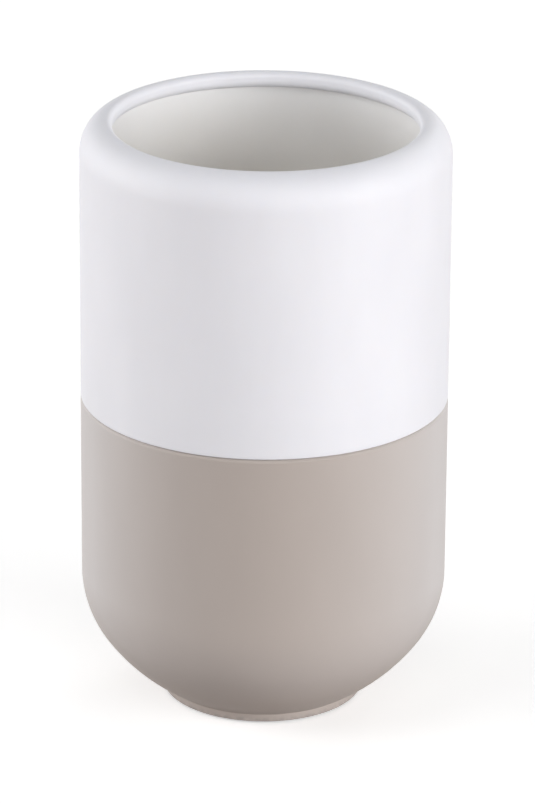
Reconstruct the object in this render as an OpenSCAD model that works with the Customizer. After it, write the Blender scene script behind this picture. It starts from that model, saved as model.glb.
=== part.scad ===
// Double-walled bathroom tumbler: a straight cup with a broad rounded lip and a bowl-shaped bottom.
// The outside is two shells that meet at a fine seam, over a separate inner liner that holds the water.
// Millimetres, +Z up, origin on the axis in the plane that the cup stands on.

/* [Cup] */
// Outer diameter of the straight wall
cup_d = 70; // [62:1:80]
// Overall height, standing on the foot pad
cup_h = 115.2; // [100:0.1:130]
// Height of the seam between the two outer shells
seam_h = 60.9; // [50:0.1:72]

/* [Upper sleeve] */
// Wall of the sleeve below the shoulder
sleeve_wall = 2.2; // [2.1:0.05:2.4]
// Wall at the crown of the lip
crown_wall = 1.5; // [1.2:0.05:1.8]
// How far the rounded shoulder comes in from the wall to the crown
shoulder_run = 5.1; // [4.9:0.1:5.8]
// How far the rounded shoulder rises from the wall to the crown
shoulder_rise = 6.3; // [5.4:0.1:7.4]
// Round on the inner edge of the crown
lip_round = 1.1; // [0.8:0.05:1.3]
// How far the lip reaches down inside, below the crown
lip_drop = 3.2; // [3:0.1:3.6]
// Thickness of the part of the lip that hangs down inside
lip_wall = 1.95; // [1.8:0.05:2.1]
// Round under the lip, where it turns back to the liner
lip_under = 1.6; // [1.2:0.05:1.7]
// Round on the sleeve's lower outer edge
sleeve_edge = 0.2; // [0.15:0.05:0.4]

/* [Lower bowl] */
// Wall of the bowl
bowl_wall = 3; // [2.7:0.05:3.2]
// How much the bowl's wall stands back from the sleeve's wall
bowl_step = 0; // [0:0.05:0.3]
// Fillet between the straight wall and the dished bottom
bowl_fillet = 20.7; // [18:0.1:23]
// How much larger the dish's radius is than the bowl's
dish_extra = 3.2; // [2.4:0.1:5]
// Round on the bowl's upper outer edge
bowl_edge = 0.7; // [0.4:0.05:0.9]
// Thickness of the flat base inside the foot
base_wall = 2.4; // [2:0.1:3]

/* [Foot and pad] */
// Outer diameter of the foot ring
foot_d = 38.5; // [35:0.1:42]
// Height of the foot ring's side below the dish
foot_h = 1.6; // [1.2:0.05:1.9]
// Width of the foot ring around the pad
foot_land = 3; // [2.4:0.1:4]
// Round on the foot ring's lower outer edge
foot_edge = 0.3; // [0.2:0.05:0.5]
// Thickness of the foot pad
pad_thick = 1.6; // [1.3:0.05:2]
// How far the pad stands out below the foot ring
pad_proud = 0.45; // [0.3:0.05:0.6]
// Chamfer on the pad's lower edge
pad_chamfer = 0.25; // [0.15:0.05:0.4]
// Gap between the pad and the side of its recess
pad_gap = 0.2; // [0.1:0.05:0.35]

/* [Lap joint] */
// Thickness of the sleeve's skin over the bowl's spigot
lap_skin = 1.3; // [1.2:0.05:1.45]
// Height of the spigot above the bowl's ledge
lap_depth = 7; // [6.5:0.1:9]
// Radial clearance between spigot and sleeve
lap_gap = 0.1; // [0.08:0.01:0.15]
// Open seam between the two shells, seen from outside
seam_gap = 0.15; // [0.1:0.05:0.3]
// Lead-in chamfer on the spigot
lead_in = 0.3; // [0.2:0.05:0.4]
// How far the snap bead stands out
bead_out = 0.35; // [0.25:0.05:0.45]
// Height of the snap bead along the wall
bead_tall = 1.6; // [1.2:0.1:1.8]
// Centre of the snap bead above the bowl's ledge
bead_up = 4.6; // [4.2:0.1:5]

/* [Inner liner] */
// Wall of the liner
liner_wall = 1.5; // [1.3:0.05:1.6]
// Draft of the liner's wall, in degrees
liner_draft = 1.2; // [0.9:0.1:1.6]
// Gap between the round of the liner's bottom and the bowl
bottom_gap = 1.3; // [1:0.1:1.6]
// Wall of the tongue that goes up behind the lip
tongue_wall = 0.9; // [0.8:0.05:1]
// Gap between the tongue and the lip
tongue_gap = 0.12; // [0.08:0.01:0.2]
// Space between the tongue's top and the sleeve
tongue_clear = 0.2; // [0.15:0.05:0.4]
// Height of the collar that centres the liner in the sleeve
collar_h = 2.2; // [1.6:0.1:3]
// Gap between the collar and the sleeve
collar_gap = 0.15; // [0.1:0.01:0.2]
// Depth of the collar's top below the lip's lower edge
collar_down = 2.5; // [2.3:0.1:3]

/* [Liner support] */
// Number of ribs on the bowl's floor
rib_count = 6; // [4:1:10]
// Thickness of a rib
rib_wall = 1.4; // [1:0.1:2]
// Height of the ribs, which is the space under the liner
rib_h = 1.8; // [1.4:0.1:2.6]
// Distance from the axis to a rib's outer end
rib_reach = 14; // [10:0.5:16]
// Diameter of the liner's centring pin
pin_d = 7; // [5:0.5:10]
// Gap around and under the centring pin
pin_gap = 0.2; // [0.1:0.05:0.4]
// Wall of the boss around the pin
boss_wall = 1.6; // [1.2:0.1:2.4]

/* [Seals] */
// Height of the rim seal
rim_seal_h = 1.5; // [1.2:0.1:1.7]
// Height of the seam seal's section along the wall
seam_seal_h = 1.1; // [0.8:0.05:1.3]
// Depth of the groove that holds the seam seal
groove_depth = 0.65; // [0.5:0.05:0.8]
// Centre of the seam seal above the bowl's ledge
groove_up = 2; // [1.8:0.1:2.3]
// Clearance of each seal in its seat
seal_gap = 0.05; // [0.03:0.01:0.08]

/* [Hidden] */

// How far a straight bit of an outline may stand off the curve that it follows, as a share of the height,
// and the widest angle that one such bit may take
sag_share = 0.0001;
curve_step = 12;
$fn = 144;
// Points nearer to each other than this share of the cup's height are one point
join_share = 0.00002;
// How far solids that are joined into one run into each other
overrun = 0.5;

// Outer shells
cup_r = cup_d / 2;
crown_r = cup_r - shoulder_run;
shoulder_z = cup_h - shoulder_rise;
lip_r = crown_r - lip_round;
lip_z = cup_h - lip_drop;
skirt_r = lip_r + lip_wall;
sleeve_in = cup_r - sleeve_wall;
channel_run = sleeve_in - crown_r;
channel_rise = shoulder_rise - crown_wall;
bowl_r = cup_r - bowl_step;
bowl_in = bowl_r - bowl_wall;
foot_r = foot_d / 2;
dish_r = bowl_r + dish_extra;
dish_z = pad_proud + foot_h + sqrt(dish_r ^ 2 - foot_r ^ 2);
fillet_r = bowl_r - bowl_fillet;
fillet_z = dish_z - sqrt((dish_r - bowl_fillet) ^ 2 - fillet_r ^ 2);
fillet_turn = atan2(dish_z - fillet_z, fillet_r);
recess_r = foot_r - foot_land;
floor_z = pad_thick + base_wall;

// Lap joint
ledge_z = seam_h - seam_gap;
socket_r = cup_r - lap_skin;
spigot_r = socket_r - lap_gap;
spigot_z = ledge_z + lap_depth;
groove_r = spigot_r - groove_depth;
groove_half = seam_seal_h / 2 + seal_gap;
seam_seal_z = ledge_z + groove_up;
bead_z = ledge_z + bead_up;

// Liner
liner_r = skirt_r + tongue_gap;
tongue_r = liner_r + tongue_wall;
tongue_z = channel_z(tongue_r) - tongue_clear;
collar_r = sleeve_in - collar_gap;
collar_z = lip_z - collar_down;
liner_under = floor_z + rib_h;
liner_floor = liner_under + liner_wall;
under_round = bottom_round();
liner_round = under_round - liner_wall;
round_z = liner_under + under_round;
round_r = liner_in(round_z) - liner_round / cos(liner_draft);
pin_r = pin_d / 2;

// Height of the channel's roof inside the shoulder at radius r, and its radius at height z
function channel_z(r) = shoulder_z + channel_rise * sqrt(1 - ((r - crown_r) / channel_run) ^ 2);
function channel_r(z) = crown_r + channel_run * sqrt(1 - ((z - shoulder_z) / channel_rise) ^ 2);

// Inner radius of the liner's drafted wall at height z
function liner_in(z) = liner_r - (lip_z - z) * tan(liner_draft);

// Radius of the liner's bottom round, outside. The round touches the drafted wall and the floor, and
// keeps the bottom gap from the dish: its centre lies k radii in from where the wall meets the floor, at
// radius a, and the distance from there to the dish's centre and the radius add up to reach.
function bottom_round() =
  let (k = 1 / cos(liner_draft) - tan(liner_draft))
  let (a = liner_in(liner_under) + liner_wall / cos(liner_draft))
  let (rise = dish_z - liner_under)
  let (reach = dish_r - bowl_wall - bottom_gap)
  let (b = k * a + rise - reach)
  (b - sqrt(b ^ 2 - k ^ 2 * (a ^ 2 + rise ^ 2 - reach ^ 2))) / k ^ 2;

// Points on an ellipse about centre c, from angle a0 to a1
function oval(c, rx, rz, a0, a1) =
  let (step = min(curve_step, 2 * acos(1 - sag_share * cup_h / max(rx, rz))))
  let (n = ceil(abs(a1 - a0) / step))
  [for (i = [0:n]) let (a = a0 + (a1 - a0) * i / n) c + [rx * cos(a), rz * sin(a)]];

// Points on a circular arc
function arc(c, r, a0, a1) = oval(c, r, r, a0, a1);

// A trapezoid bump on a wall at radius r, standing out by h over a height of w about z.
// It runs from bottom to top, or from top to bottom where w is negative.
function bump(r, z, h, w) = [[r, z - w / 2], [r + h, z - w / 4], [r + h, z + w / 4], [r, z + w / 2]];

// The same points without neighbours that lie on each other
function outline(p) = [for (i = [0:len(p) - 1]) if (i == 0 || norm(p[i] - p[i - 1]) > join_share * cup_h) p[i]];

// A solid of revolution from an outline in radius and height
module turned(p) {
  rotate_extrude() polygon(outline(p));
}

// White outer shell: straight wall, rounded shoulder and a lip that rolls over and hangs down inside.
// Its underside has the channel for the liner's tongue, and its lower end the socket of the lap joint,
// whose roof sits on the spigot and so sets the width of the seam.
module upper_sleeve() {
  channel_turn = acos((skirt_r - crown_r) / channel_run);
  color([0.95, 0.95, 0.96])
  turned(concat(
    arc([cup_r - sleeve_edge, seam_h + sleeve_edge], sleeve_edge, -90, 0),
    oval([crown_r, shoulder_z], shoulder_run, shoulder_rise, 0, 90),
    arc([crown_r, cup_h - lip_round], lip_round, 90, 180),
    arc([lip_r + lip_under, lip_z + lip_under], lip_under, 180, 270),
    [[skirt_r, lip_z]],
    oval([crown_r, shoulder_z], channel_run, channel_rise, channel_turn, 0),
    [[sleeve_in, spigot_z], [socket_r, spigot_z]],
    bump(socket_r, bead_z, bead_out, -bead_tall - 2 * lap_gap),
    [[socket_r, seam_h]]
  ));
}

// Taupe outer shell: straight wall, fillet, dished bottom and foot ring. Its spigot goes up inside the
// sleeve, with a groove for the seam seal and a snap bead, and its floor carries the liner on ribs.
module lower_bowl() {
  color([0.71, 0.66, 0.63]) {
    turned(concat(
      [[0, pad_thick], [recess_r, pad_thick], [recess_r, pad_proud]],
      arc([foot_r - foot_edge, pad_proud + foot_edge], foot_edge, -90, 0),
      arc([0, dish_z], dish_r, -acos(foot_r / dish_r), -fillet_turn),
      arc([fillet_r, fillet_z], bowl_fillet, -fillet_turn, 0),
      arc([bowl_r - bowl_edge, ledge_z - bowl_edge], bowl_edge, 0, 90),
      [[spigot_r, ledge_z]],
      [[spigot_r, seam_seal_z - groove_half], [groove_r, seam_seal_z - groove_half]],
      [[groove_r, seam_seal_z + groove_half], [spigot_r, seam_seal_z + groove_half]],
      bump(spigot_r, bead_z, bead_out, bead_tall),
      [[spigot_r, spigot_z - lead_in], [spigot_r - lead_in, spigot_z], [bowl_in, spigot_z]],
      arc([fillet_r, fillet_z], bowl_fillet - bowl_wall, 0, -fillet_turn),
      arc([0, dish_z], dish_r - bowl_wall, -fillet_turn, -asin((dish_z - floor_z) / (dish_r - bowl_wall))),
      [[0, floor_z]]
    ));
    liner_support();
  }
}

// Ribs and boss on the bowl's floor, level with the liner's underside
module liner_support() {
  boss_in = pin_r + pin_gap;
  turned([
    [boss_in, floor_z - overrun],
    [boss_in + boss_wall, floor_z - overrun],
    [boss_in + boss_wall, liner_under],
    [boss_in, liner_under]
  ]);
  for (i = [0:rib_count - 1])
    rotate(i * 360 / rib_count)
      translate([boss_in + boss_wall / 2, -rib_wall / 2, floor_z - overrun])
        cube([rib_reach - boss_in - boss_wall / 2, rib_wall, rib_h + overrun]);
}

// Inner cup: drafted wall, round bottom, collar that centres it in the sleeve, tongue that goes up
// behind the lip, and a pin under the floor that drops into the bowl's boss.
module inner_liner() {
  wall_out = liner_wall / cos(liner_draft);
  collar_low = collar_z - collar_h;
  collar_root = liner_in(collar_low) + wall_out;
  color([0.9, 0.885, 0.865]) {
    turned(concat(
      [[0, liner_under]],
      arc([round_r, round_z], liner_round + liner_wall, -90, -liner_draft),
      [[collar_root, collar_low], [collar_r, collar_low + collar_r - collar_root], [collar_r, collar_z]],
      [[tongue_r, collar_z], [tongue_r, tongue_z - tongue_wall / 2], [tongue_r - tongue_wall / 2, tongue_z]],
      [[liner_r, tongue_z], [liner_r, lip_z]],
      arc([round_r, round_z], liner_round, -liner_draft, -90),
      [[0, liner_floor]]
    ));
    translate([0, 0, floor_z + pin_gap]) cylinder(r = pin_r, h = rib_h - pin_gap + liner_wall / 2);
  }
}

// Soft ring with a domed top, on the liner's collar between the tongue and the shoulder
module rim_seal() {
  seal_in = tongue_r + seal_gap;
  seal_top = collar_z + rim_seal_h;
  seal_out = channel_r(seal_top) - seal_gap;
  seal_half = (seal_out - seal_in) / 2;
  color([0.86, 0.87, 0.88])
  turned(concat(
    [[seal_in, collar_z], [seal_out, collar_z]],
    arc([seal_in + seal_half, seal_top - seal_half], seal_half, 0, 180)
  ));
}

// Soft ring in the spigot's groove, which keeps water out of the space between the walls
module seam_seal() {
  seal_half = (groove_depth + lap_gap) / 2 - seal_gap;
  color([0.86, 0.87, 0.88])
  turned(oval([groove_r + seal_gap + seal_half, seam_seal_z], seal_half, seam_seal_h / 2, 0, 360));
}

// Anti-slip pad in the recess under the base
module foot_pad() {
  pad_r = recess_r - pad_gap;
  color([0.35, 0.33, 0.32])
  turned([[0, 0], [pad_r - pad_chamfer, 0], [pad_r, pad_chamfer], [pad_r, pad_thick], [0, pad_thick]]);
}

upper_sleeve();
lower_bowl();
inner_liner();
rim_seal();
seam_seal();
foot_pad();
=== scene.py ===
"""Looks of a double-walled bathroom tumbler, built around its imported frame.

Lengths are in metres, +Z is up, and the cup's axis is the Z axis. Every shell is an outline in
radius and height, put together from arcs and corners, and turned about that axis.
"""

import logging
import math
from dataclasses import dataclass
from enum import Enum

import bpy
import numpy as np
from mathutils import Matrix, Vector

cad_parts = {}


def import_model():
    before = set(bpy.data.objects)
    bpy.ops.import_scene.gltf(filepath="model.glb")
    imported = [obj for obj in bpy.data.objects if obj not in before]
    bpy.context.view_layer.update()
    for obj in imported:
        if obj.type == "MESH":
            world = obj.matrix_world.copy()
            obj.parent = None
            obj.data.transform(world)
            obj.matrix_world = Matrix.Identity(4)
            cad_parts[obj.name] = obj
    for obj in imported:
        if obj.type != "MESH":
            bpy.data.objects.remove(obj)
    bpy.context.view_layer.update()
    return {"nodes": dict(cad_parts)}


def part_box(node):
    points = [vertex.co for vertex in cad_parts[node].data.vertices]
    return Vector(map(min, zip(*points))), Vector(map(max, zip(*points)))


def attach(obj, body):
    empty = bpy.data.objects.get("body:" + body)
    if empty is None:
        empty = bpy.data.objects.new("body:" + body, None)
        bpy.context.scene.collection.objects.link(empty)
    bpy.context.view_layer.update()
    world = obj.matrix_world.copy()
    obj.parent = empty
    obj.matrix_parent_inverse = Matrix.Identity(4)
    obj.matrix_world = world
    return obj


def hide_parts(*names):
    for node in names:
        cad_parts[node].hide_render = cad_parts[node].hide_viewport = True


LOG = logging.getLogger("tumbler")

MM = 0.001
BODY = "root"

# How far a chord may stand off its arc, how far apart two points are at least and at most,
# and how many steps a broken edge and a whole turn have
SAG = 0.002 * MM
MERGE = 0.001 * MM
LONGEST = 3.0 * MM
EDGE_STEPS = 5
TURN_STEPS = 240

# A corner that turns by more than this is an edge, and a broken edge takes at most this share
# of a side
EDGE_TURN = math.radians(25.0)
EDGE_SHARE = 0.4

# Where nearly all of a noise's values lie, and the part of them that bounds its patches
NOISE_SPAN = (0.3, 0.7)
PATCH_SPAN = (0.35, 0.6)

# How many finer layers the noise has for grain, for the flow of plastic, and for patches
GRAIN_DETAIL = 1.0
FLOW_DETAIL = 3.0
PATCH_DETAIL = 4.0

Colour = tuple[float, float, float]
Place = tuple[float, float]
Span = tuple[float, float]
Triple = tuple[float, float, float]


def oval(centre: Place, run: float, rise: float, start: float, end: float) -> np.ndarray:
    """Points along an ellipse: the centre plus run times cos a and rise times sin a.

    Args:
        centre: Radius and height of the ellipse's centre.
        run: Half width of the ellipse.
        rise: Half height of the ellipse.
        start: First angle, in degrees.
        end: Last angle, in degrees.

    Returns:
        An array of radius and height, one row for each point.
    """
    step = 2.0 * math.acos(1.0 - SAG / max(run, rise))
    count = max(EDGE_STEPS, math.ceil(math.radians(abs(end - start)) / step))
    angle = np.radians(np.linspace(start, end, count + 1))
    return np.column_stack((centre[0] + run * np.cos(angle), centre[1] + rise * np.sin(angle)))


def arc(centre: Place, radius: float, start: float, end: float) -> np.ndarray:
    """Points along a circle's arc, from one angle to another in degrees."""
    return oval(centre, radius, radius, start, end)


def bump(radius: float, height: float, out: float, tall: float) -> np.ndarray:
    """A trapezoid bump on a wall, whose outer face is half as tall as its foot.

    It runs from bottom to top, or from top to bottom where tall is negative.

    Args:
        radius: Radius of the wall.
        height: Height of the bump's middle.
        out: How far the bump stands out.
        tall: How tall it is along the wall.

    Returns:
        Its four corners.
    """
    rise = np.array((-0.5, -0.25, 0.25, 0.5)) * tall
    return np.column_stack((radius + out * np.array((0.0, 1.0, 1.0, 0.0)), height + rise))


def join(*parts: np.ndarray | list[Place]) -> np.ndarray:
    """Puts an outline together, without points that lie on each other.

    Args:
        *parts: Stretches and single corners, in order.

    Returns:
        The outline, in radius and height.
    """
    points = np.vstack([np.asarray(part, float).reshape(-1, 2) for part in parts])
    apart = np.linalg.norm(points - np.roll(points, 1, axis=0), axis=1) > MERGE
    return points[apart]


def break_edges(points: np.ndarray, size: float) -> np.ndarray:
    """Gives each sharp corner of a closed outline a small round.

    A corner is cut off at a distance on both its sides, and a curve of second degree with the
    corner as its middle control point joins the cuts. Points on the axis stay.

    Args:
        points: Closed outline, in radius and height.
        size: Distance from a corner to each cut, which is less beside a short side.

    Returns:
        The outline with its edges broken.
    """
    back = np.roll(points, 1, axis=0) - points
    ahead = np.roll(points, -1, axis=0) - points
    back_length = np.linalg.norm(back, axis=1)
    ahead_length = np.linalg.norm(ahead, axis=1)
    along = -np.sum(back * ahead, axis=1) / (back_length * ahead_length)
    sharp = (np.arccos(np.clip(along, -1.0, 1.0)) > EDGE_TURN) & (points[:, 0] > MERGE)
    cut = np.minimum(size, EDGE_SHARE * np.minimum(back_length, ahead_length))
    first = points + back * (cut / back_length)[:, None]
    last = points + ahead * (cut / ahead_length)[:, None]
    share = np.linspace(0.0, 1.0, EDGE_STEPS)[None, :, None]
    curve = (
        (1.0 - share) ** 2 * first[:, None]
        + 2.0 * share * (1.0 - share) * points[:, None]
        + share**2 * last[:, None]
    )
    curve = np.where(sharp[:, None, None], curve, points[:, None])
    kept = sharp[:, None] | (np.arange(EDGE_STEPS) == 0)[None, :]
    return curve[kept]


def divide(points: np.ndarray, closed: bool) -> np.ndarray:
    """Splits the long straight stretches of an outline into even steps of at most LONGEST.

    Args:
        points: Outline in radius and height.
        closed: Whether the last point goes on to the first.

    Returns:
        The same outline with more points on its straight stretches.
    """
    ahead = np.roll(points, -1, axis=0) - points
    steps = np.ceil(np.linalg.norm(ahead, axis=1) / LONGEST).astype(int)
    if not closed:
        steps[-1] = 1
    owner = np.repeat(np.arange(len(points)), steps)
    place = np.arange(len(owner)) - np.repeat(np.cumsum(steps) - steps, steps)
    share = (place / steps[owner])[:, None]
    return points[owner] + share * ahead[owner]


def outline_normals(points: np.ndarray, closed: bool) -> np.ndarray:
    """Normals of an outline that has its solid on the left.

    Each side gives its right-hand normal times its own length, and a point takes the sum of its
    two sides', so that the long flat stretches stay flat beside a small round.

    Args:
        points: Outline in radius and height.
        closed: Whether the last point goes on to the first.

    Returns:
        One unit normal for each point.
    """
    ahead = np.roll(points, -1, axis=0) - points
    if not closed:
        ahead[-1] = 0.0
    right = np.column_stack((ahead[:, 1], -ahead[:, 0]))
    total = right + np.roll(right, 1, axis=0)
    return total / np.linalg.norm(total, axis=1)[:, None]


@dataclass
class Surface:
    """A closed mesh as arrays: its vertices, its faces and a normal at each vertex."""

    vertices: np.ndarray
    corners: np.ndarray
    counts: np.ndarray
    facing: np.ndarray

    def along_with(self, *others: "Surface") -> "Surface":
        """This surface and others in one set of arrays.

        Args:
            *others: Surfaces to add.

        Returns:
            A new surface.
        """
        every = (self, *others)
        sizes = np.array([len(each.vertices) for each in every])
        shifts = np.cumsum(sizes) - sizes
        return Surface(
            np.vstack([each.vertices for each in every]),
            np.concatenate([each.corners + shift for each, shift in zip(every, shifts)]),
            np.concatenate([each.counts for each in every]),
            np.vstack([each.facing for each in every]),
        )

    def to_object(self, name: str) -> bpy.types.Object:
        """Puts the arrays into a smooth mesh and links its object into the scene.

        Args:
            name: Name of the object and its mesh.

        Returns:
            The new object, at the origin.
        """
        mesh = bpy.data.meshes.new(name)
        mesh.vertices.add(len(self.vertices))
        mesh.vertices.foreach_set("co", np.ascontiguousarray(self.vertices, np.float32).ravel())
        mesh.loops.add(len(self.corners))
        mesh.loops.foreach_set("vertex_index", self.corners.astype(np.int32))
        mesh.polygons.add(len(self.counts))
        starts = np.cumsum(self.counts) - self.counts
        mesh.polygons.foreach_set("loop_start", starts.astype(np.int32))
        mesh.polygons.foreach_set("use_smooth", np.ones(len(self.counts), bool))
        mesh.update(calc_edges=True)
        mesh.validate()
        mesh.normals_split_custom_set_from_vertices(self.facing.tolist())
        piece = bpy.data.objects.new(name, mesh)
        bpy.context.scene.collection.objects.link(piece)
        return piece


def turned(outline: np.ndarray) -> Surface:
    """Turns an outline about the Z axis into a closed surface with smooth normals.

    A point at radius r and height z goes to (r cos t, r sin t, z) for every turn t. Where the
    outline starts and ends on the axis, each end is one point that closes the surface.

    Args:
        outline: Outline of the solid's half section, in radius and height.

    Returns:
        The surface.
    """
    following = np.roll(outline, -1, axis=0)
    area = np.sum(outline[:, 0] * following[:, 1] - following[:, 0] * outline[:, 1])
    points = outline if area > 0.0 else outline[::-1]
    closed = bool(points[:, 0].min() > MERGE)
    if not closed:
        on_axis = int(np.flatnonzero(points[:, 0] <= MERGE)[0])
        points = np.roll(points, -on_axis, axis=0)
        if points[1, 0] <= MERGE:
            points = np.roll(points, -1, axis=0)
    points = divide(points, closed)
    normals = outline_normals(points, closed)
    turn = np.linspace(0.0, 2.0 * math.pi, TURN_STEPS, endpoint=False)
    spin = np.column_stack((np.cos(turn), np.sin(turn)))

    def swept(pairs: np.ndarray) -> np.ndarray:
        """Carries radius and height round the axis, ring by ring."""
        flat = (pairs[:, None, :1] * spin[None]).reshape(-1, 2)
        return np.column_stack((flat, np.repeat(pairs[:, 1], TURN_STEPS)))

    inner = slice(0, None) if closed else slice(1, -1)
    rings = len(points[inner])
    vertices = swept(points[inner])
    facing = swept(normals[inner])
    low = np.arange(rings if closed else rings - 1)[:, None] * TURN_STEPS
    high = (low + TURN_STEPS) % (rings * TURN_STEPS)
    here = np.arange(TURN_STEPS)[None]
    there = np.roll(here, -1)
    quads = np.stack((low + here, low + there, high + there, high + here), axis=-1).reshape(-1, 4)
    corners = quads.ravel()
    counts = np.full(len(quads), 4)
    if not closed:
        ends = len(vertices) + np.arange(2)
        vertices = np.vstack((vertices, [(0.0, 0.0, points[0, 1]), (0.0, 0.0, points[-1, 1])]))
        facing = np.vstack((facing, [(0.0, 0.0, -1.0), (0.0, 0.0, 1.0)]))
        last = (rings - 1) * TURN_STEPS
        first_fan = np.column_stack((np.full(TURN_STEPS, ends[0]), there[0], here[0]))
        last_fan = np.column_stack((last + here[0], last + there[0], np.full(TURN_STEPS, ends[1])))
        corners = np.concatenate((corners, first_fan.ravel(), last_fan.ravel()))
        counts = np.concatenate((counts, np.full(2 * TURN_STEPS, 3)))
    return Surface(vertices, corners, counts, facing)


def block(low: Triple, high: Triple, turn: float) -> Surface:
    """A flat-faced block, turned about the Z axis.

    Every face has four corners of its own. A face looks along one axis, to its low or its high
    end, and its corners go round that axis by sign pairs.

    Args:
        low: Lowest corner before the turn.
        high: Highest corner before the turn.
        turn: Turn about the Z axis, in radians.

    Returns:
        The surface.
    """
    axis = np.repeat(np.arange(3), 2)
    side = np.tile((-1.0, 1.0), 3)
    first = np.array((-1.0, 1.0, 1.0, -1.0))[None] * side[:, None]
    second = np.array((-1.0, -1.0, 1.0, 1.0))[None]
    signs = np.zeros((6, 4, 3))
    face = np.arange(6)
    signs[face, :, axis] = side[:, None]
    signs[face, :, (axis + 1) % 3] = first
    signs[face, :, (axis + 2) % 3] = second
    middle = (np.array(low) + np.array(high)) / 2.0
    half = (np.array(high) - np.array(low)) / 2.0
    facing = np.zeros((6, 4, 3))
    facing[face, :, axis] = side[:, None]
    spin = np.array(Matrix.Rotation(turn, 3, "Z"))
    vertices = (middle + half * signs).reshape(-1, 3) @ spin.T
    return Surface(vertices, np.arange(24), np.full(6, 4), facing.reshape(-1, 3) @ spin.T)


class ShaderGraph:
    """A material's node tree, with short ways to add nodes and to feed their sockets."""

    def __init__(self, name: str) -> None:
        """Starts an empty tree.

        Args:
            name: Name of the material.
        """
        self.material = bpy.data.materials.new(name)
        self.material.use_nodes = True
        self.tree = self.material.node_tree
        self.tree.nodes.clear()

    def feed(self, socket: bpy.types.NodeSocket, value: object) -> None:
        """Links a socket to an output, or sets its own value.

        Args:
            socket: Input to feed.
            value: Output socket, number, or colour of three numbers.
        """
        if isinstance(value, bpy.types.NodeSocket):
            self.tree.links.new(value, socket)
        elif isinstance(value, tuple) and socket.type == "RGBA":
            socket.default_value = (*value, 1.0)
        else:
            socket.default_value = value

    def add(self, kind: str, inputs: dict[str | int, object], **settings: object) -> bpy.types.Node:
        """Adds a node.

        Args:
            kind: Blender's name of the node's type.
            inputs: What each input takes, by name or number.
            **settings: Settings of the node itself.

        Returns:
            The new node.
        """
        node = self.tree.nodes.new(kind)
        for key, value in settings.items():
            setattr(node, key, value)
        for key, value in inputs.items():
            self.feed(node.inputs[key], value)
        return node

    def place(self) -> bpy.types.NodeSocket:
        """Place on the object, in metres."""
        return self.add("ShaderNodeTexCoord", {}).outputs["Object"]

    def height(self) -> bpy.types.NodeSocket:
        """Height above the plane that the cup stands on, in metres."""
        return self.add("ShaderNodeSeparateXYZ", {"Vector": self.place()}).outputs["Z"]

    def noise(self, size: float, detail: float, stretch: float = 1.0) -> bpy.types.NodeSocket:
        """Smooth noise about 0.5.

        Args:
            size: Size of its features, in metres.
            detail: How many finer layers it has.
            stretch: How much longer the features are along the axis.

        Returns:
            The noise's value.
        """
        squeeze = self.add(
            "ShaderNodeMapping", {"Vector": self.place(), "Scale": (1.0, 1.0, 1.0 / stretch)}
        )
        inputs = {"Vector": squeeze.outputs["Vector"], "Scale": 1.0 / size, "Detail": detail}
        return self.add("ShaderNodeTexNoise", inputs).outputs["Fac"]

    def between(
        self, value: bpy.types.NodeSocket, span: Span, result: Span, soft: bool = False
    ) -> bpy.types.NodeSocket:
        """Carries a value from one span to another.

        Args:
            value: Value to read.
            span: The values that stand for the two ends.
            result: What the two ends become.
            soft: Whether it eases in and out.

        Returns:
            The new value.
        """
        inputs = {0: value, 1: span[0], 2: span[1], 3: result[0], 4: result[1]}
        kind = "SMOOTHSTEP" if soft else "LINEAR"
        return self.add("ShaderNodeMapRange", inputs, interpolation_type=kind).outputs[0]

    def maths(self, operation: str, first: object, second: object) -> bpy.types.NodeSocket:
        """Value of one sum on two values."""
        return self.add("ShaderNodeMath", {0: first, 1: second}, operation=operation).outputs[0]

    def tint(self, factor: object, first: object, second: object) -> bpy.types.NodeSocket:
        """A colour that goes from the first to the second with the factor.

        Args:
            factor: Share of the second colour.
            first: Colour where the factor is 0.
            second: Colour where it is 1.

        Returns:
            The mixed colour.
        """
        node = self.add("ShaderNodeMix", {0: factor}, data_type="RGBA")
        self.feed(node.inputs[6], first)
        self.feed(node.inputs[7], second)
        return node.outputs[2]

    def relief(self, value: bpy.types.NodeSocket, depth: float) -> bpy.types.NodeSocket:
        """Normal of a surface that a value from 0 to 1 raises by the depth, in metres."""
        inputs = {"Height": value, "Strength": 1.0, "Distance": depth}
        return self.add("ShaderNodeBump", inputs).outputs["Normal"]

    def finish(self, surface: bpy.types.NodeSocket) -> bpy.types.Material:
        """Ends the tree in a surface and returns the material."""
        self.add("ShaderNodeOutputMaterial", {"Surface": surface})
        return self.material


def shade(colour: Colour, factor: float) -> Colour:
    """A colour made lighter or darker by one factor."""
    return tuple(min(1.0, channel * factor) for channel in colour)


@dataclass(frozen=True)
class WearAndShadeBand:
    """Patches where use has changed a surface, between two heights; their tone can also darken it
    as painted shade.

    Their share is full at one height and none at the other. A patch adds to the roughness and
    multiplies the colour, which on the bowl's foot ring is painted shade near the floor, and size
    is how large a patch is.
    """

    full: float
    none: float
    roughening: float
    tone: float = 1.0
    size: float = 1.2 * MM


@dataclass(frozen=True)
class SecondTone:
    """A second colour that comes in between two heights.

    Where a slant is given, it is a painted sheen: the colour then comes in only between those two
    shares of the surface's turn away from the viewer, so the surface is painted paler towards its
    outline.
    """

    colour: Colour
    none: float
    full: float
    slant: Span | None = None


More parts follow.
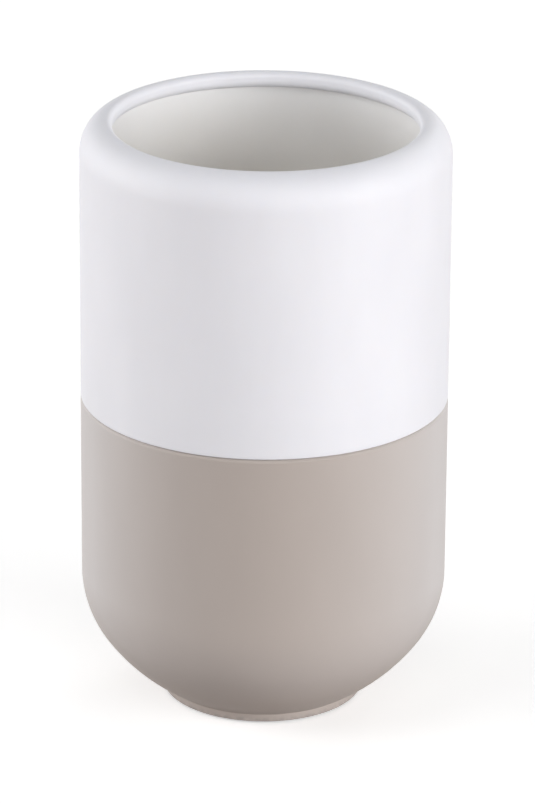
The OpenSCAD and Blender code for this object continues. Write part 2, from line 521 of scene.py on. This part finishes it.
@dataclass(frozen=True)
class MouldedFinish:
    """Matt moulded plastic: fine spark grain, faint flow mottling, a rubbed band near one edge that
    may also be darkened as painted shade, and a second colour that may be a painted sheen.
    """

    name: str
    colour: Colour
    roughness: float
    wear_and_shade: WearAndShadeBand
    second: SecondTone | None = None
    roughness_spread: float = 0.03
    specular: float = 0.5
    subsurface: float = 0.0
    subsurface_reach: float = 2.0 * MM
    subsurface_tint: Triple = (1.0, 0.9, 0.8)
    mottle: float = 0.02
    mottle_size: float = 14.0 * MM
    mottle_stretch: float = 2.5
    grain_size: float = 0.22 * MM
    grain_depth: float = 0.0025 * MM

    def mottled(
        self, graph: ShaderGraph, flow: bpy.types.NodeSocket, colour: Colour
    ) -> bpy.types.NodeSocket:
        """A colour with the faint flow mottling.

        Args:
            graph: Node tree to build in.
            flow: Noise of the flow.
            colour: Mean colour.

        Returns:
            The mottled colour.
        """
        share = graph.between(flow, NOISE_SPAN, (0.0, 1.0))
        dark, light = shade(colour, 1.0 - self.mottle), shade(colour, 1.0 + self.mottle)
        return graph.tint(share, dark, light)

    def base(self, graph: ShaderGraph, flow: bpy.types.NodeSocket) -> bpy.types.NodeSocket:
        """The mottled colour with the second tone over it, which is a painted sheen where a slant
        is given.

        Args:
            graph: Node tree to build in.
            flow: Noise of the flow.

        Returns:
            The colour.
        """
        plain = self.mottled(graph, flow, self.colour)
        tone = self.second
        if tone is None:
            return plain
        share = graph.between(graph.height(), (tone.none, tone.full), (0.0, 1.0))
        # Painted sheen: the second colour comes in by how far the surface turns from the viewer.
        if tone.slant is not None:
            aslant = graph.add("ShaderNodeLayerWeight", {}).outputs["Facing"]
            painted_sheen_share = graph.between(aslant, tone.slant, (0.0, 1.0))
            share = graph.maths("MULTIPLY", painted_sheen_share, share)
        return graph.tint(share, plain, self.mottled(graph, flow, tone.colour))

    def make(self) -> bpy.types.Material:
        """Builds the material.

        Returns:
            The material.
        """
        graph = ShaderGraph(self.name)
        flow = graph.noise(self.mottle_size, FLOW_DETAIL, self.mottle_stretch)
        patches = graph.noise(self.wear_and_shade.size, PATCH_DETAIL)
        band = graph.between(
            graph.height(), (self.wear_and_shade.full, self.wear_and_shade.none), (1.0, 0.0), soft=True
        )
        # Patches near one edge: they change the roughness where rubbed, and their darker tone is
        # painted shade on the bowl's foot ring.
        worn_and_shaded = graph.maths("MULTIPLY", band, graph.between(patches, PATCH_SPAN, (0.0, 1.0)))
        colour = graph.tint(worn_and_shaded, self.base(graph, flow), shade(self.colour, self.wear_and_shade.tone))
        spread = (self.roughness - self.roughness_spread, self.roughness + self.roughness_spread)
        matt = graph.between(flow, NOISE_SPAN, spread)
        roughness = graph.maths("ADD", matt, graph.maths("MULTIPLY", worn_and_shaded, self.wear_and_shade.roughening))
        grain = graph.noise(self.grain_size, GRAIN_DETAIL)
        shader = graph.add(
            "ShaderNodeBsdfPrincipled",
            {
                "Base Color": colour,
                "Roughness": roughness,
                "Specular IOR Level": self.specular,
                "Subsurface Weight": self.subsurface,
                "Subsurface Radius": self.subsurface_tint,
                "Subsurface Scale": self.subsurface_reach,
                "Normal": graph.relief(grain, self.grain_depth),
            },
        )
        return graph.finish(shader.outputs["BSDF"])


@dataclass(frozen=True)
class SiliconeFinish:
    """Milky grey silicone: soft gloss, light that goes a little way in, and moulding dust."""

    name: str
    colour: Colour = (0.62, 0.63, 0.65)
    dust_pale: float = 1.15
    dust_size: float = 0.6 * MM
    dust_depth: float = 0.004 * MM
    dust_span: Span = (0.5, 0.7)
    roughness: Span = (0.38, 0.6)
    subsurface: float = 0.5
    subsurface_reach: float = 1.5 * MM
    subsurface_tint: Triple = (1.0, 1.0, 1.0)

    def make(self) -> bpy.types.Material:
        """Builds the material.

        Returns:
            The material.
        """
        graph = ShaderGraph(self.name)
        dust = graph.noise(self.dust_size, PATCH_DETAIL)
        speckle = graph.between(dust, self.dust_span, (0.0, 1.0))
        shader = graph.add(
            "ShaderNodeBsdfPrincipled",
            {
                "Base Color": graph.tint(speckle, self.colour, shade(self.colour, self.dust_pale)),
                "Roughness": graph.between(dust, NOISE_SPAN, self.roughness),
                "Subsurface Weight": self.subsurface,
                "Subsurface Radius": self.subsurface_tint,
                "Subsurface Scale": self.subsurface_reach,
                "Normal": graph.relief(dust, self.dust_depth),
            },
        )
        return graph.finish(shader.outputs["BSDF"])


@dataclass(frozen=True)
class FoamFinish:
    """Dense closed-cell foam rubber: a skin of fine cells, with rubbed high spots."""

    name: str
    colour: Colour = (0.085, 0.08, 0.078)
    cell_tones: Span = (0.75, 1.3)
    cell_size: float = 0.45 * MM
    cell_depth: float = 0.05 * MM
    rub_pale: float = 1.7
    rub_size: float = 5.0 * MM
    rub_span: Span = (0.45, 0.65)
    roughness: Span = (0.85, 0.7)
    specular: float = 0.3

    def make(self) -> bpy.types.Material:
        """Builds the material.

        Returns:
            The material.
        """
        graph = ShaderGraph(self.name)
        inputs = {"Vector": graph.place(), "Scale": 1.0 / self.cell_size}
        cells = graph.add("ShaderNodeTexVoronoi", inputs).outputs["Distance"]
        rubs = graph.noise(self.rub_size, PATCH_DETAIL)
        rubbed = graph.between(rubs, self.rub_span, (0.0, 1.0))
        hollow, skin = self.cell_tones
        dark = graph.tint(cells, shade(self.colour, hollow), shade(self.colour, skin))
        shader = graph.add(
            "ShaderNodeBsdfPrincipled",
            {
                "Base Color": graph.tint(rubbed, dark, shade(self.colour, self.rub_pale)),
                "Roughness": graph.between(rubbed, (0.0, 1.0), self.roughness),
                "Specular IOR Level": self.specular,
                "Normal": graph.relief(graph.maths("SUBTRACT", 1.0, cells), self.cell_depth),
            },
        )
        return graph.finish(shader.outputs["BSDF"])


@dataclass(frozen=True)
class FloorFinish:
    """Plain pale floor.

    It is white where it is looked at, and throws light back on the cup as a warm grey does.
    """

    name: str
    bounce: Colour = (0.3, 0.254, 0.228)
    seen: Colour = (0.9, 0.9, 0.9)
    lift: float = 0.45

    def make(self) -> bpy.types.Material:
        """Builds the material.

        Returns:
            The material.
        """
        graph = ShaderGraph(self.name)
        rays = graph.add("ShaderNodeLightPath", {}).outputs
        reflected = graph.maths("MAXIMUM", rays["Is Camera Ray"], rays["Is Glossy Ray"])
        looked_at = graph.maths("MAXIMUM", reflected, rays["Is Transmission Ray"])
        plain = graph.add("ShaderNodeBsdfDiffuse", {"Color": self.bounce})
        pale = graph.add("ShaderNodeBsdfDiffuse", {"Color": self.seen})
        glow = graph.add("ShaderNodeEmission", {"Color": (1.0, 1.0, 1.0), "Strength": self.lift})
        white = graph.add("ShaderNodeAddShader", {0: pale.outputs[0], 1: glow.outputs[0]})
        both = {0: looked_at, 1: plain.outputs[0], 2: white.outputs[0]}
        return graph.finish(graph.add("ShaderNodeMixShader", both).outputs[0])


class Part(Enum):
    """The pieces of the cup, by the names of their nodes."""

    SLEEVE = "upper_sleeve"
    BOWL = "lower_bowl"
    LINER = "inner_liner"
    RIM_SEAL = "rim_seal"
    SEAM_SEAL = "seam_seal"
    PAD = "foot_pad"


@dataclass(frozen=True)
class Datums:
    """The places that the pieces share, read from the frame."""

    cup_r: float
    cup_h: float
    seam_z: float
    bowl_r: float
    spigot_z: float
    foot_z: float
    collar_r: float
    collar_z: float
    tongue_z: float
    pin_z: float
    pad_r: float
    pad_h: float

    @staticmethod
    def read() -> "Datums":
        """Reads the boxes of the nodes.

        Returns:
            The places, in metres.
        """
        sleeve_low, sleeve_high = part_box(Part.SLEEVE.value)
        bowl_low, bowl_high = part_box(Part.BOWL.value)
        liner_low, liner_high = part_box(Part.LINER.value)
        seal_low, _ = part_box(Part.RIM_SEAL.value)
        _, pad_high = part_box(Part.PAD.value)
        return Datums(
            cup_r=sleeve_high.x,
            cup_h=sleeve_high.z,
            seam_z=sleeve_low.z,
            bowl_r=bowl_high.x,
            spigot_z=bowl_high.z,
            foot_z=bowl_low.z,
            collar_r=liner_high.x,
            collar_z=seal_low.z,
            tongue_z=liner_high.z,
            pin_z=liner_low.z,
            pad_r=pad_high.x,
            pad_h=pad_high.z,
        )


def show(piece: bpy.types.Object, part: Part, material: bpy.types.Material) -> None:
    """Dresses a new piece, puts it in place of its node and lets it ride with the cup.

    Args:
        piece: The new piece.
        part: The part that it stands for.
        material: Its finish.
    """
    piece.data.materials.append(material)
    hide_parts(part.value)
    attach(piece, BODY)
    LOG.info("%s: %d faces, %s", piece.name, len(piece.data.polygons), material.name)


@dataclass
class OuterShells:
    """The white sleeve and the taupe bowl, with the lap joint that holds them together."""

    datums: Datums
    sleeve_wall: float = 2.2 * MM
    crown_wall: float = 1.5 * MM
    shoulder_run: float = 5.1 * MM
    shoulder_rise: float = 6.3 * MM
    lip_round: float = 1.1 * MM
    lip_drop: float = 3.2 * MM
    lip_wall: float = 1.95 * MM
    lip_under: float = 1.6 * MM
    sleeve_edge: float = 0.2 * MM
    bowl_wall: float = 3.0 * MM
    bowl_fillet: float = 20.7 * MM
    dish_extra: float = 3.2 * MM
    bowl_edge: float = 0.7 * MM
    base_wall: float = 2.4 * MM
    foot_r: float = 19.25 * MM
    foot_h: float = 1.6 * MM
    foot_land: float = 3.0 * MM
    foot_edge: float = 0.3 * MM
    lap_skin: float = 1.3 * MM
    lap_depth: float = 7.0 * MM
    lap_gap: float = 0.1 * MM
    lead_in: float = 0.3 * MM
    bead_out: float = 0.35 * MM
    bead_tall: float = 1.6 * MM
    bead_up: float = 4.6 * MM
    groove_depth: float = 0.65 * MM
    groove_tall: float = 1.2 * MM
    groove_up: float = 2.0 * MM
    rib_count: int = 6
    rib_wall: float = 1.4 * MM
    rib_h: float = 1.8 * MM
    rib_reach: float = 14.0 * MM
    boss_in: float = 3.7 * MM
    boss_wall: float = 1.6 * MM
    overrun: float = 0.5 * MM
    edge_break: float = 0.12 * MM
    lip_worn: Span = (0.3 * MM, 2.5 * MM)
    # Painted shade: the foot ring band below is made darker as shade near the floor, and rougher
    # where scuffed.
    foot_scuff_and_shade: Span = (0.15 * MM, 1.3 * MM)
    white: Colour = (0.863, 0.864, 0.914)
    taupe: Colour = (0.464, 0.408, 0.376)
    # Painted sheen: a paler taupe mixed in where the bowl turns from the viewer, faded out towards
    # the foot between the two heights.
    painted_sheen_tone: Colour = (0.622, 0.591, 0.583)
    painted_sheen_rise: Span = (7.0 * MM, 26.0 * MM)
    painted_sheen_slant: Span = (0.07, 0.67)

    def sleeve_outline(self) -> np.ndarray:
        """Half section of the sleeve, counter-clockwise from its lower outer edge.

        Returns:
            The outline, in radius and height.
        """
        d = self.datums
        crown_r = d.cup_r - self.shoulder_run
        shoulder = (crown_r, d.cup_h - self.shoulder_rise)
        lip_r = crown_r - self.lip_round
        lip_z = d.cup_h - self.lip_drop
        skirt_r = lip_r + self.lip_wall
        sleeve_in = d.cup_r - self.sleeve_wall
        channel_run = sleeve_in - crown_r
        channel_turn = math.degrees(math.acos((skirt_r - crown_r) / channel_run))
        socket_r = d.cup_r - self.lap_skin
        bead_z = d.spigot_z - self.lap_depth + self.bead_up
        edge = (d.cup_r - self.sleeve_edge, d.seam_z + self.sleeve_edge)
        return join(
            arc(edge, self.sleeve_edge, -90.0, 0.0),
            oval(shoulder, self.shoulder_run, self.shoulder_rise, 0.0, 90.0),
            arc((crown_r, d.cup_h - self.lip_round), self.lip_round, 90.0, 180.0),
            arc((lip_r + self.lip_under, lip_z + self.lip_under), self.lip_under, 180.0, 270.0),
            [(skirt_r, lip_z)],
            oval(shoulder, channel_run, self.shoulder_rise - self.crown_wall, channel_turn, 0.0),
            [(sleeve_in, d.spigot_z), (socket_r, d.spigot_z)],
            bump(socket_r, bead_z, self.bead_out, -self.bead_tall - 2.0 * self.lap_gap),
            [(socket_r, d.seam_z)],
        )

    def bowl_outline(self) -> np.ndarray:
        """Half section of the bowl, counter-clockwise from the middle of its underside.

        Returns:
            The outline, in radius and height.
        """
        d = self.datums
        ledge_z = d.spigot_z - self.lap_depth
        spigot_r = d.cup_r - self.lap_skin - self.lap_gap
        bowl_in = d.bowl_r - self.bowl_wall
        dish_r = d.bowl_r + self.dish_extra
        dish_z = d.foot_z + self.foot_h + math.sqrt(dish_r**2 - self.foot_r**2)
        fillet_r = d.bowl_r - self.bowl_fillet
        fillet_z = dish_z - math.sqrt((dish_r - self.bowl_fillet) ** 2 - fillet_r**2)
        turn = math.degrees(math.atan2(dish_z - fillet_z, fillet_r))
        floor_z = d.pad_h + self.base_wall
        dish_in = dish_r - self.bowl_wall
        recess_r = self.foot_r - self.foot_land
        groove_low = ledge_z + self.groove_up - self.groove_tall / 2.0
        groove_high = groove_low + self.groove_tall
        groove_r = spigot_r - self.groove_depth
        foot = (self.foot_r - self.foot_edge, d.foot_z + self.foot_edge)
        foot_turn = -math.degrees(math.acos(self.foot_r / dish_r))
        floor_turn = -math.degrees(math.asin((dish_z - floor_z) / dish_in))
        return join(
            [(0.0, d.pad_h), (recess_r, d.pad_h), (recess_r, d.foot_z)],
            arc(foot, self.foot_edge, -90.0, 0.0),
            arc((0.0, dish_z), dish_r, foot_turn, -turn),
            arc((fillet_r, fillet_z), self.bowl_fillet, -turn, 0.0),
            arc((d.bowl_r - self.bowl_edge, ledge_z - self.bowl_edge), self.bowl_edge, 0.0, 90.0),
            [(spigot_r, ledge_z)],
            [(spigot_r, groove_low), (groove_r, groove_low)],
            [(groove_r, groove_high), (spigot_r, groove_high)],
            bump(spigot_r, ledge_z + self.bead_up, self.bead_out, self.bead_tall),
            [(spigot_r, d.spigot_z - self.lead_in), (spigot_r - self.lead_in, d.spigot_z)],
            [(bowl_in, d.spigot_z)],
            arc((fillet_r, fillet_z), self.bowl_fillet - self.bowl_wall, 0.0, -turn),
            arc((0.0, dish_z), dish_in, -turn, floor_turn),
            [(0.0, floor_z)],
        )

    def liner_support(self) -> list[Surface]:
        """The boss that takes the liner's pin, and the ribs that the liner stands on.

        Returns:
            One surface for the boss and one for each rib.
        """
        floor_z = self.datums.pad_h + self.base_wall
        root_z = floor_z - self.overrun
        top_z = floor_z + self.rib_h
        boss_out = self.boss_in + self.boss_wall
        boss = join(
            [(self.boss_in, root_z), (boss_out, root_z)],
            [(boss_out, top_z), (self.boss_in, top_z)],
        )
        rib_in = self.boss_in + self.boss_wall / 2.0
        low = (rib_in, -self.rib_wall / 2.0, root_z)
        high = (self.rib_reach, self.rib_wall / 2.0, top_z)
        turns = np.linspace(0.0, 2.0 * math.pi, self.rib_count, endpoint=False)
        return [turned(break_edges(boss, self.edge_break)), *(block(low, high, t) for t in turns)]

    def sleeve_finish(self) -> MouldedFinish:
        """White moulding whose lip is rubbed smoother, down from its top.

        Returns:
            The finish.
        """
        top = self.datums.cup_h
        full, none = self.lip_worn
        return MouldedFinish(
            name="white_matt_moulding",
            colour=self.white,
            roughness=0.6,
            wear_and_shade=WearAndShadeBand(top - full, top - none, roughening=-0.03),
            subsurface=0.2,
        )

    def bowl_finish(self) -> MouldedFinish:
        """Taupe soft-touch coat with a painted pale sheen that fades out towards the foot, rougher
        where scuffed at the foot ring and darker there as painted shade near the floor.

        Returns:
            The finish.
        """
        foot = self.datums.foot_z
        full, none = self.foot_scuff_and_shade
        return MouldedFinish(
            name="taupe_soft_touch",
            colour=self.taupe,
            roughness=0.6,
            # Painted shade: tone 0.78 darkens the foot ring as shade near the floor; the roughening
            # is scuffing.
            wear_and_shade=WearAndShadeBand(foot + full, foot + none, roughening=0.08, tone=0.78),
            # Painted sheen: a paler taupe mixed into the colour where the bowl turns from the
            # viewer.
            second=SecondTone(self.painted_sheen_tone, *self.painted_sheen_rise, slant=self.painted_sheen_slant),
            specular=0.4,
            mottle=0.025,
        )

    def build(self) -> None:
        """Builds both shells and dresses them."""
        sleeve = turned(break_edges(self.sleeve_outline(), self.edge_break))
        show(sleeve.to_object("sleeve_shell"), Part.SLEEVE, self.sleeve_finish().make())
        bowl = turned(break_edges(self.bowl_outline(), self.edge_break))
        bowl = bowl.along_with(*self.liner_support())
        show(bowl.to_object("bowl_shell"), Part.BOWL, self.bowl_finish().make())


@dataclass
class WaterLiner:
    """The inner cup that holds the water."""

    datums: Datums
    shells: OuterShells
    wall: float = 1.5 * MM
    draft: float = math.radians(1.2)
    bottom_gap: float = 1.3 * MM
    tongue_wall: float = 0.9 * MM
    tongue_gap: float = 0.12 * MM
    collar_h: float = 2.2 * MM
    pin_r: float = 3.5 * MM
    edge_break: float = 0.12 * MM
    bottom_worn: Span = (4.0 * MM, 12.0 * MM)
    cream: Colour = (0.965, 0.93, 0.88)
    mouth_tone: Colour = (0.885, 0.882, 0.885)
    mouth_rise: Span = (90.0 * MM, 114.0 * MM)

    def bottom_round(self, under_z: float, lip_z: float, liner_r: float) -> float:
        """Radius of the bottom's outer round.

        The round touches the drafted wall and the floor and keeps the bottom gap from the
        bowl's dish, which gives a quadratic for its radius.

        Args:
            under_z: Height of the liner's underside.
            lip_z: Height of the lip's lower edge.
            liner_r: Inner radius of the liner there.

        Returns:
            The radius.
        """
        shells, d = self.shells, self.datums
        dish_r = d.bowl_r + shells.dish_extra
        dish_z = d.foot_z + shells.foot_h + math.sqrt(dish_r**2 - shells.foot_r**2)
        slant = 1.0 / math.cos(self.draft) - math.tan(self.draft)
        foot = liner_r - (lip_z - under_z) * math.tan(self.draft) + self.wall / math.cos(self.draft)
        rise = dish_z - under_z
        reach = dish_r - shells.bowl_wall - self.bottom_gap
        half = slant * foot + rise - reach
        rest = foot**2 + rise**2 - reach**2
        return (half - math.sqrt(half**2 - slant**2 * rest)) / slant**2

    def outline(self) -> np.ndarray:
        """Half section of the liner with its pin, counter-clockwise from the pin's underside.

        Returns:
            The outline, in radius and height.
        """
        d, shells = self.datums, self.shells
        lip_z = d.cup_h - shells.lip_drop
        lip_r = d.cup_r - shells.shoulder_run - shells.lip_round
        liner_r = lip_r + shells.lip_wall + self.tongue_gap
        tongue_r = liner_r + self.tongue_wall
        under_z = d.pad_h + shells.base_wall + shells.rib_h
        outer = self.bottom_round(under_z, lip_z, liner_r)
        inner = outer - self.wall
        round_z = under_z + outer
        slope = math.tan(self.draft)
        round_r = liner_r - (lip_z - round_z) * slope - inner / math.cos(self.draft)
        collar_low = d.collar_z - self.collar_h
        collar_root = liner_r - (lip_z - collar_low) * slope + self.wall / math.cos(self.draft)
        upright = -math.degrees(self.draft)
        tip = self.tongue_wall / 2.0
        return join(
            [(0.0, d.pin_z), (self.pin_r, d.pin_z), (self.pin_r, under_z)],
            arc((round_r, round_z), outer, -90.0, upright),
            [(collar_root, collar_low), (d.collar_r, collar_low + d.collar_r - collar_root)],
            [(d.collar_r, d.collar_z), (tongue_r, d.collar_z)],
            [(tongue_r, d.tongue_z - tip), (tongue_r - tip, d.tongue_z), (liner_r, d.tongue_z)],
            [(liner_r, lip_z)],
            arc((round_r, round_z), inner, upright, -90.0),
            [(0.0, under_z + self.wall)],
        )

    def finish(self) -> MouldedFinish:
        """Cream moulding, a plainer white towards the mouth and rubbed smoother at the bottom.

        Returns:
            The finish.
        """
        low = self.datums.pin_z
        full, none = self.bottom_worn
        return MouldedFinish(
            name="warm_white_moulding",
            colour=self.cream,
            roughness=0.55,
            wear_and_shade=WearAndShadeBand(low + full, low + none, roughening=-0.05, tone=0.98, size=3.0 * MM),
            second=SecondTone(self.mouth_tone, *self.mouth_rise),
            subsurface=0.1,
        )

    def build(self) -> None:
        """Builds the liner and dresses it."""
        cup = turned(break_edges(self.outline(), self.edge_break))
        show(cup.to_object("liner_cup"), Part.LINER, self.finish().make())


@dataclass
class FootPad:
    """The anti-slip pad under the base."""

    datums: Datums
    chamfer: float = 0.25 * MM
    edge_break: float = 0.15 * MM

    def build(self) -> None:
        """Builds the pad and dresses it."""
        d = self.datums
        outline = join(
            [(0.0, 0.0), (d.pad_r - self.chamfer, 0.0), (d.pad_r, self.chamfer)],
            [(d.pad_r, d.pad_h), (0.0, d.pad_h)],
        )
        pad = turned(break_edges(outline, self.edge_break)).to_object("anti_slip_pad")
        show(pad, Part.PAD, FoamFinish("foam_rubber").make())


@dataclass
class Seals:
    """The two hidden seals, which keep their nodes and get a finish."""

    nodes: dict[str, bpy.types.Object]

    def dress(self) -> None:
        """Gives both rings the silicone finish."""
        finish = SiliconeFinish("milky_silicone").make()
        for part in (Part.RIM_SEAL, Part.SEAM_SEAL):
            node = self.nodes[part.value]
            node.data.materials.clear()
            node.data.materials.append(finish)
            LOG.info("%s: %s", node.name, finish.name)


@dataclass(frozen=True)
class Softbox:
    """A square panel of light that faces the cup. Azimuth 0 is the camera's side, 90 its right."""

    name: str
    azimuth: float
    elevation: float
    glow: float
    side: float = 1.05
    distance: float = 2.0

    def build(self, target: Vector) -> bpy.types.Object:
        """Builds the lamp.

        Args:
            target: Point that the panel faces.

        Returns:
            The lamp's object.
        """
        lamp = bpy.data.lights.new(self.name, "AREA")
        lamp.shape = "SQUARE"
        lamp.size = self.side
        lamp.energy = self.glow * math.pi * self.side**2
        turn, lift = math.radians(self.azimuth), math.radians(self.elevation)
        flat = math.cos(lift)
        away = Vector((math.sin(turn) * flat, -math.cos(turn) * flat, math.sin(lift)))
        panel = bpy.data.objects.new(self.name, lamp)
        panel.location = target + away * self.distance
        panel.rotation_euler = away.to_track_quat("Z", "Y").to_euler()
        panel.visible_camera = False
        bpy.context.scene.collection.objects.link(panel)
        return panel


@dataclass(frozen=True)
class Studio:
    """Plain pale floor, a white surround and soft panels of light."""

    datums: Datums
    floor_half: float = 4.0
    ambient: float = 0.02
    softboxes: tuple[Softbox, ...] = (
        Softbox("right_panel", 63.0, 12.0, 7.5),
        Softbox("right_front_panel", 30.0, 12.0, 3.05),
        Softbox("low_front_panel", 0.0, 12.0, 1.75),
        Softbox("high_front_panel", 0.0, 38.0, 0.9),
        Softbox("left_front_panel", -60.0, 38.0, 1.85),
        Softbox("left_panel", -90.0, 12.0, 6.4),
        Softbox("left_back_panel", -120.0, 12.0, 2.3),
        Softbox("high_back_panel", 180.0, 38.0, 1.1),
        Softbox("right_back_panel", 150.0, 25.0, 2.8),
    )

    def build(self) -> None:
        """Builds the floor, the surround and the lamps."""
        signs = np.array([(-1.0, -1.0, 0.0), (1.0, -1.0, 0.0), (1.0, 1.0, 0.0), (-1.0, 1.0, 0.0)])
        upright = np.tile((0.0, 0.0, 1.0), (4, 1))
        plane = Surface(signs * self.floor_half, np.arange(4), np.array([4]), upright)
        floor = plane.to_object("studio_floor")
        floor.data.materials.append(FloorFinish("pale_floor").make())
        self.surround()
        middle = Vector((0.0, 0.0, self.datums.cup_h / 2.0))
        for softbox in self.softboxes:
            softbox.build(middle)
        LOG.info("studio: %d panels", len(self.softboxes))

    def surround(self) -> None:
        """Makes the world white where it is looked at and a weak even light elsewhere."""
        world = bpy.data.worlds.new("white_surround")
        world.use_nodes = True
        tree = world.node_tree
        tree.nodes.clear()
        rays = tree.nodes.new("ShaderNodeLightPath")
        reflected = tree.nodes.new("ShaderNodeMath")
        reflected.operation = "MAXIMUM"
        tree.links.new(rays.outputs["Is Camera Ray"], reflected.inputs[0])
        tree.links.new(rays.outputs["Is Glossy Ray"], reflected.inputs[1])
        looked_at = tree.nodes.new("ShaderNodeMath")
        looked_at.operation = "MAXIMUM"
        tree.links.new(reflected.outputs[0], looked_at.inputs[0])
        tree.links.new(rays.outputs["Is Transmission Ray"], looked_at.inputs[1])
        strength = tree.nodes.new("ShaderNodeMapRange")
        tree.links.new(looked_at.outputs[0], strength.inputs[0])
        strength.inputs[3].default_value = self.ambient
        strength.inputs[4].default_value = 1.0
        sky = tree.nodes.new("ShaderNodeBackground")
        tree.links.new(strength.outputs[0], sky.inputs["Strength"])
        output = tree.nodes.new("ShaderNodeOutputWorld")
        tree.links.new(sky.outputs[0], output.inputs["Surface"])
        bpy.context.scene.world = world


@dataclass(frozen=True)
class PhotoCamera:
    """The camera that was fitted to the photograph's outline and curves of the cup."""

    distance: float = 900.39 * MM
    height: float = 412.14 * MM
    pitch: float = 0.374
    yaw: float = 0.00066
    roll: float = 0.0069
    focal_pixels: float = 5072.6
    picture_height: int = 803
    film: float = 36.0
    clip_end: float = 50.0

    def build(self) -> None:
        """Builds the camera and makes it the scene's."""
        ahead = Vector(
            (
                math.sin(self.yaw) * math.cos(self.pitch),
                math.cos(self.yaw) * math.cos(self.pitch),
                -math.sin(self.pitch),
            )
        )
        level = ahead.cross(Vector((0.0, 0.0, 1.0))).normalized()
        upright = level.cross(ahead)
        right = level * math.cos(self.roll) + upright * math.sin(self.roll)
        up = right.cross(ahead)
        lens = bpy.data.cameras.new("photo_camera")
        lens.sensor_width = self.film
        lens.lens = self.focal_pixels * self.film / self.picture_height
        lens.clip_end = self.clip_end
        camera = bpy.data.objects.new("photo_camera", lens)
        turn = Matrix((right, up, -ahead)).transposed().to_4x4()
        camera.matrix_world = Matrix.Translation((0.0, -self.distance, self.height)) @ turn
        bpy.context.scene.collection.objects.link(camera)
        bpy.context.scene.camera = camera
        LOG.info("camera: lens %.1f mm", lens.lens)


def main() -> None:
    """Builds the cup, the studio and the camera, in that order."""
    logging.basicConfig(level=logging.INFO, format="%(name)s %(message)s")
    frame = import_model()
    datums = Datums.read()
    shells = OuterShells(datums)
    shells.build()
    WaterLiner(datums, shells).build()
    FootPad(datums).build()
    Seals(frame["nodes"]).dress()
    Studio(datums).build()
    PhotoCamera().build()
    bpy.context.scene.view_settings.view_transform = "Standard"


if __name__ == "__main__":
    main()
